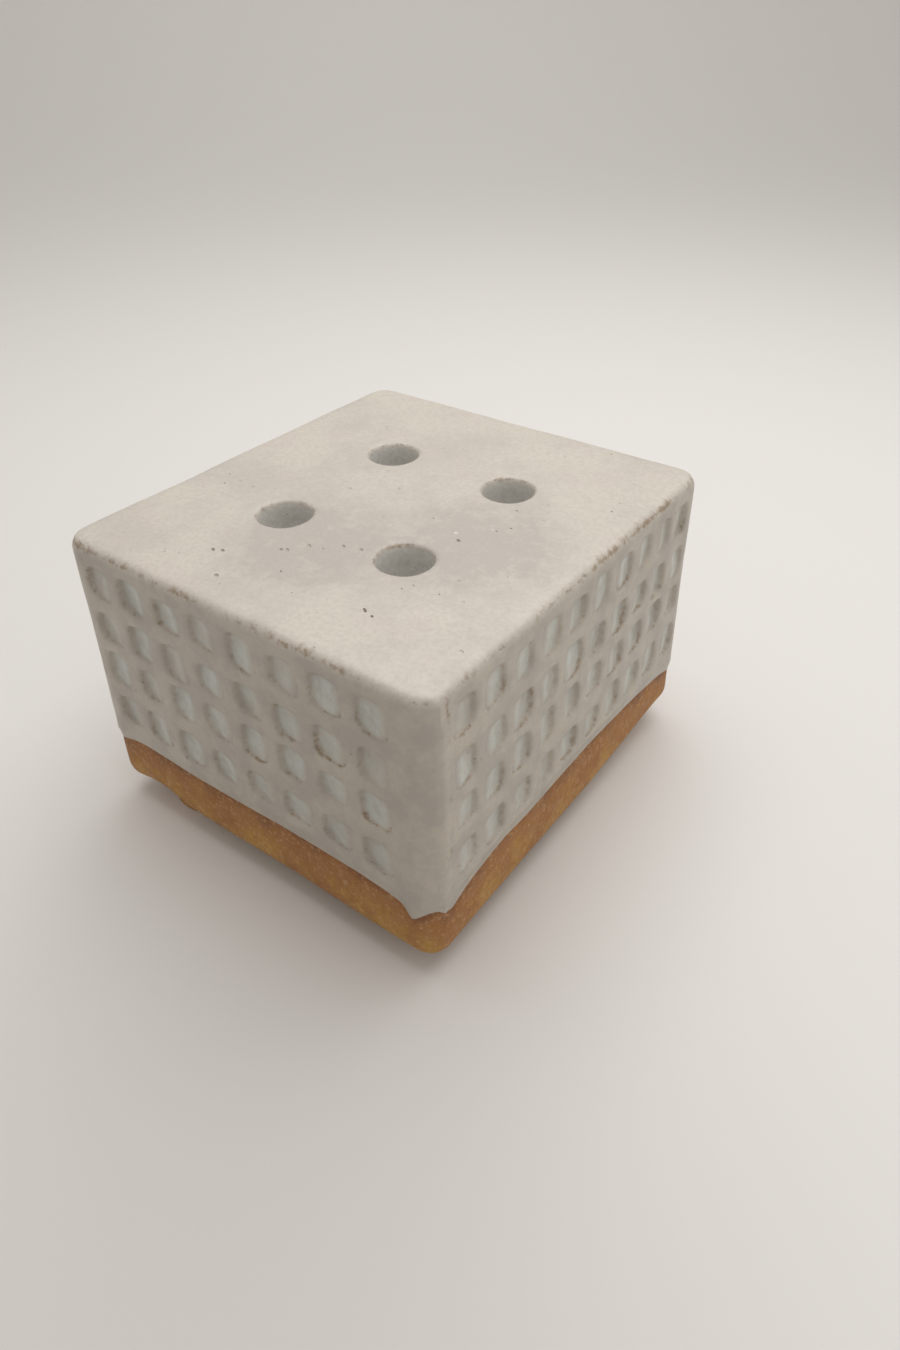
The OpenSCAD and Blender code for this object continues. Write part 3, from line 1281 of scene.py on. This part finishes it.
class GlazeSkin:
    """Grows the glaze from the block's own surface."""

    pits: ClassVar[tuple[tuple[float, float], ...]] = (
        (-15.3, -34.0), (-13.7, -33.2), (-5.5, -26.8), (-4.6, -26.2), (-2.4, -22.9), (2.8, -19.4),
        (6.2, -18.5), (19.4, -33.1), (21.5, -33.8), (-8.2, -39.7), (38.5, -32.9), (18.5, -5.9),
    )
    stray_pits: ClassVar[int] = 22
    stray_share: ClassVar[float] = 0.5
    pit_r: ClassVar[float] = 0.45
    clear_of_hole: ClassVar[float] = 7.5
    bore_slack: ClassVar[float] = 1.6

    def __init__(self, block: bpy.types.Object, sizes: ClayBlock, thickness: float) -> None:
        """Keeps what the glaze grows from.

        Args:
            block: The whole clay block.
            sizes: The block's sizes.
            thickness: The glaze's usual thickness.
        """
        self.block = block
        self.sizes = sizes
        self.thickness = thickness
        self.glaze = SatinGlaze().material("satin_glaze")

    def build(self) -> list[bpy.types.Object]:
        """Grows the glaze.

        Returns:
            The coat over the top and walls, and the lining of the stem holes.
        """
        coat = self._grow("glaze_coat", Zone.GLAZED)
        self._prick(coat)
        holes = self._grow("stem_hole_glaze", Zone.BORE)
        return [
            dress(coat, self.glaze, "white_glaze", "glaze_coat"),
            dress(holes, self.glaze, "lining_glaze", "stem_hole_glaze"),
        ]

    def _grow(self, node: str, zone: Zone) -> bpy.types.Object:
        """Copies one zone of the block's surface and thickens it outwards.

        Args:
            node: The node that the glaze stands for.
            zone: The part of the surface that it grows from.

        Returns:
            The glaze as a closed piece.
        """
        skin = copy_piece(self.block, f"{node}_skin")
        activate(skin)
        bpy.ops.object.mode_set(mode="EDIT")
        pick(skin, Pick.FACES, lambda face: face.material_index != zone.value)
        bpy.ops.mesh.delete(type="FACE")
        close_edit()
        high_z = self.sizes.high_z

        def on_wall(place: Vector) -> float:
            """Gives 1 on the walls and 0 on the top and in the holes: the mask for the walls' painted shade.
            """
            outside = not self.sizes.in_bore(place, self.bore_slack)
            return outside * smooth_step(0.2, 1.8, high_z - place.z)

        def in_hole(place: Vector) -> float:
            """Gives 1 inside a stem hole and 0 elsewhere: the mask for the holes' painted light."""
            return self.sizes.in_bore(place, self.bore_slack) * smooth_step(0.1, 1.0, high_z - place.z)

        # the wall mask carries the walls' painted shade
        write_values(skin, "wall", on_wall)
        # the inside mask carries the stem holes' painted light
        write_values(skin, "inside", in_hole)
        depth = skin.vertex_groups.new(name="depth")
        thin, pool = read_values(skin, "thin"), read_values(skin, "pool")
        for vertex in skin.data.vertices:
            share = 0.66 + 0.34 * pool[vertex.index] - 0.3 * thin[vertex.index]
            above = vertex.co.z - self.sizes.line.height(vertex.co.x, vertex.co.y)
            bead = smooth_step(-0.1, 1.0, above) * (1.0 + 0.25 * bell(above - 1.3, 0.9))
            depth.add([vertex.index], max(min(share * (0.08 + 0.92 * bead), 1.0), 0.04), "REPLACE")
        apply_modifier(
            skin, "SOLIDIFY", thickness=self.thickness, offset=1.0, use_rim=True, vertex_group="depth"
        )
        return skin

    def _prick(self, coat: bpy.types.Object) -> None:
        """Opens small pits in the top of the coat, the larger ones at chosen places.

        Args:
            coat: The glaze over the top and walls.
        """
        dice = random.Random(21)
        top = self.sizes.high_z + self.thickness * 0.7
        spots = list(self.pits)
        spots += [(dice.uniform(-36.0, 36.0), dice.uniform(-42.0, 42.0)) for _ in range(self.stray_pits)]
        pits = []
        for x, y in spots:
            middles = self.sizes.hole_middles()
            if any(math.hypot(x - hole_x, y - hole_y) < self.clear_of_hole for hole_x, hole_y in middles):
                continue
            radius = self.pit_r * (1.0 if (x, y) in self.pits else self.stray_share)
            pit = start_piece("pit", bpy.ops.mesh.primitive_ico_sphere_add, subdivisions=2, radius=radius)
            bpy.ops.transform.resize(value=(dice.uniform(0.9, 1.7), dice.uniform(0.6, 0.9), 0.8))
            bpy.ops.transform.rotate(value=0.6, orient_axis="Z", center_override=(0, 0, 0))
            bpy.ops.transform.translate(value=Vector((x, y, top)))
            close_edit()
            pits.append(pit)
        activate(pits[0])
        for pit in pits:
            pit.select_set(True)
        bpy.ops.object.join()
        apply_modifier(coat, "BOOLEAN", operation="DIFFERENCE", solver="MANIFOLD", object=pits[0])
        bpy.data.objects.remove(pits[0])


@dataclass
class Feet:
    """The four small pads of clay under the base."""

    nodes: tuple[str, ...]
    segments: int = 24
    sole_edge: float = 0.7
    inset: float = 0.6

    def build(self) -> list[bpy.types.Object]:
        """Models each foot where its node stands.

        Returns:
            The feet.
        """
        clay = ToastedClay(flashed=False).material("foot_clay")
        return [self._foot(node, clay) for node in self.nodes]

    def _foot(self, node: str, clay: bpy.types.Material) -> bpy.types.Object:
        """Models one foot as a pinched pad with a flat sole.

        Args:
            node: The foot's node.

        Returns:
            The foot.
        """
        low, high = node_box(node)
        radius, height = (high.x - low.x) / 2, high.z - low.z
        middle = (low + high) / 2
        add_disc = bpy.ops.mesh.primitive_cylinder_add
        foot = start_piece(f"{node}_pad", add_disc, vertices=self.segments, radius=radius, depth=height)
        bpy.ops.transform.translate(value=middle)
        pick(foot, Pick.FACES, lambda face: face.normal.z < -0.9)
        bpy.ops.mesh.bevel(offset=self.sole_edge, segments=3, affect="EDGES", clamp_overlap=True)
        pick(foot, Pick.FACES, lambda face: abs(face.normal.z) > 0.9 and len(face.verts) > 8)
        bpy.ops.mesh.inset(thickness=self.inset)
        bpy.ops.mesh.inset(thickness=radius / 3)
        close_edit()
        apply_modifier(foot, "SUBSURF", levels=2, render_levels=2)

        def pinch(place: Vector, _normal: Vector) -> Vector:
            """Moves one point of the side a little further in.

            Args:
                place: Where it is.
                _normal: The direction that its surface faces, which is not used.

            Returns:
                Its new place.
            """
            away = Vector((place.x - middle.x, place.y - middle.y, 0.0))
            if high.z - 0.3 < place.z or place.z < low.z + 0.05:
                return place
            return place + away.normalized() * min(0.5 * noise.noise(place / 5.0) - 0.1, 0.0)

        move_points(foot, pinch)
        return dress(foot, clay, "bare_clay", node)


def dress(
    piece: bpy.types.Object, material: bpy.types.Material, slot: str, *nodes: str
) -> bpy.types.Object:
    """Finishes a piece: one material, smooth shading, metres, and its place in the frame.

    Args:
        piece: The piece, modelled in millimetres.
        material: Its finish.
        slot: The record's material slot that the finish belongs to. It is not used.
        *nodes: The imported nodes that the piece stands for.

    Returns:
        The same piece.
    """
    piece.data.materials.clear()
    piece.data.materials.append(material)
    piece.data.polygons.foreach_set("material_index", [0] * len(piece.data.polygons))
    piece.data.transform(Matrix.Scale(MM, 4))
    piece.data.update()
    activate(piece)
    bpy.ops.object.shade_smooth_by_angle(angle=math.radians(40.0))
    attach(piece, ROOT)
    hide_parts(*nodes)
    log.info("%s: %d faces", piece.name, len(piece.data.polygons))
    return piece


def dress_nodes(names: tuple[str, ...], material: bpy.types.Material) -> None:
    """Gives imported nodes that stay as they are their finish.

    Args:
        names: The nodes.
        material: Their finish.
    """
    for name in names:
        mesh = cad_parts[name].data
        mesh.materials.clear()
        mesh.materials.append(material)
        log.info("%s: packed node, dressed", name)


# ---- the set ----


@dataclass(frozen=True)
class SoftLight:
    """A soft square light, with its sizes in metres and its power in watts."""

    name: str
    place: tuple[float, float, float]
    aim: tuple[float, float, float]
    size: float
    watts: float
    tint: tuple[float, float, float]

    def hang(self) -> None:
        """Hangs the light and points it at its aim."""
        data = bpy.data.lights.new(self.name, "AREA")
        data.size = self.size
        data.energy = self.watts
        data.color = self.tint
        light = bpy.data.objects.new(self.name, data)
        bpy.context.scene.collection.objects.link(light)
        place, aim = Vector(self.place), Vector(self.aim)
        light.location = place
        light.rotation_euler = (aim - place).to_track_quat("-Z", "Y").to_euler()


@dataclass
class Studio:
    """The paper sweep, the soft lights and the camera."""

    eye: tuple[float, float, float] = (0.10258, -0.12309, 0.14619)
    heading: float = -0.63417
    tilt: float = 0.66197
    roll: float = -0.00714
    lens: float = 24.14
    room_tint: Colour = (1.0, 0.96, 0.91, 1.0)
    room_strength: float = 0.53
    lights: tuple[SoftLight, ...] = (
        SoftLight("overhead", (0.0, 0.135, 0.5), (0.0, 0.0, 0.03), 0.54, 1.75, (1.0, 0.99, 0.985)),
        SoftLight("right", (0.5, 0.02, 0.22), (0.0, 0.0, 0.03), 0.3, 0.2, (1.0, 1.0, 0.98)),
        SoftLight("backdrop", (-0.55, 0.75, 0.7), (-0.8, 1.1, 0.1), 0.6, 0.9, (1.0, 0.99, 0.985)),
    )

    def build(self) -> None:
        """Sets everything up."""
        self._camera()
        self._sweep()
        self._light_up()
        bpy.context.scene.view_settings.view_transform = "Standard"

    def _camera(self) -> None:
        """Places the camera."""
        ahead = Vector((
            math.sin(self.heading) * math.cos(self.tilt),
            math.cos(self.heading) * math.cos(self.tilt),
            -math.sin(self.tilt),
        ))
        right = Vector((math.cos(self.heading), -math.sin(self.heading), 0.0))
        above = right.cross(ahead)
        right_rolled = right * math.cos(self.roll) + above * math.sin(self.roll)
        above_rolled = right_rolled.cross(ahead)
        camera_data = bpy.data.cameras.new("camera")
        camera_data.lens = self.lens
        camera_data.clip_start = 0.005
        camera = bpy.data.objects.new("camera", camera_data)
        bpy.context.scene.collection.objects.link(camera)
        turned = Matrix((right_rolled, above_rolled, -ahead)).transposed().to_4x4()
        camera.matrix_world = Matrix.Translation(self.eye) @ turned
        bpy.context.scene.camera = camera

    def _sweep(self) -> None:
        """Lays a round sheet of paper that curves up far away on every side."""
        sweep = start_piece(
            "paper_sweep", bpy.ops.mesh.primitive_circle_add, vertices=48, radius=1.0, fill_type="NGON"
        )
        bpy.ops.mesh.inset(thickness=0.3)
        pick(sweep, Pick.EDGES, lambda edge: edge.is_boundary)
        for rise, spread in ((0.06, 1.25), (0.2, 1.15), (0.35, 1.05)):
            bpy.ops.mesh.extrude_edges_move(TRANSFORM_OT_translate={"value": (0, 0, rise)})
            bpy.ops.transform.resize(value=(spread, spread, 1.0), center_override=(0, 0, 0))
        close_edit()
        apply_modifier(sweep, "SUBSURF", levels=2, render_levels=2)
        sweep.data.materials.append(PaperSweep().material("paper"))
        bpy.ops.object.shade_smooth()

    def _light_up(self) -> None:
        """Hangs the lights and sets the room's own light."""
        for light in self.lights:
            light.hang()
        world = bpy.data.worlds.new("room")
        world.use_nodes = True
        background = world.node_tree.nodes["Background"]
        background.inputs["Color"].default_value = self.room_tint
        background.inputs["Strength"].default_value = self.room_strength
        bpy.context.scene.world = world


# ---- building ----


def main() -> None:
    """Builds the pieces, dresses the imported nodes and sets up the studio."""
    logging.basicConfig(level=logging.INFO, format="%(name)s: %(message)s")
    _, right_high = node_box("right_wall")
    _, back_high = node_box("back_wall")
    slab_low, slab_high = node_box("top_slab")
    base_low, base_high = node_box("base_slab")
    hole_low, hole_high = node_box("stem_hole_glaze")
    _, coat_high = node_box("glaze_coat")
    glaze_t = coat_high.z - slab_high.z
    hole_r = STEM_HOLE_R + glaze_t
    hole_pitch = (hole_high.x - hole_low.x - 2 * hole_r, hole_high.y - hole_low.y - 2 * hole_r)
    line = GlazeLine(right_high.x, back_high.y)
    clay_top = slab_high.z - CLAY_BELOW_TOP
    sizes = ClayBlock(
        right_high.x, back_high.y, base_low.z, clay_top, slab_low.z, hole_pitch, hole_r, line
    )
    block = sizes.build()
    log.info("clay block: %d faces", len(block.data.polygons))
    inner_w, inner_d = slab_high.x - slab_low.x, slab_high.y - slab_low.y
    pieces = Slabs(block, sizes, inner_w, inner_d, base_high.z).build()
    pieces += GlazeSkin(block, sizes, glaze_t).build()
    bpy.data.objects.remove(block)
    corners = ("front_left", "front_right", "back_left", "back_right")
    pieces += Feet(tuple(f"foot_{corner}" for corner in corners)).build()
    log.info("modelled pieces: %d", len(pieces))
    coils = (*(f"corner_coil_{corner}" for corner in corners), "base_coil")
    dress_nodes(coils, ToastedClay(flashed=False).material("inner_clay"))
    dress_nodes(("lining_glaze",), SatinGlaze().material("lining_glaze"))
    Studio().build()


if __name__ == "__main__":
    main()
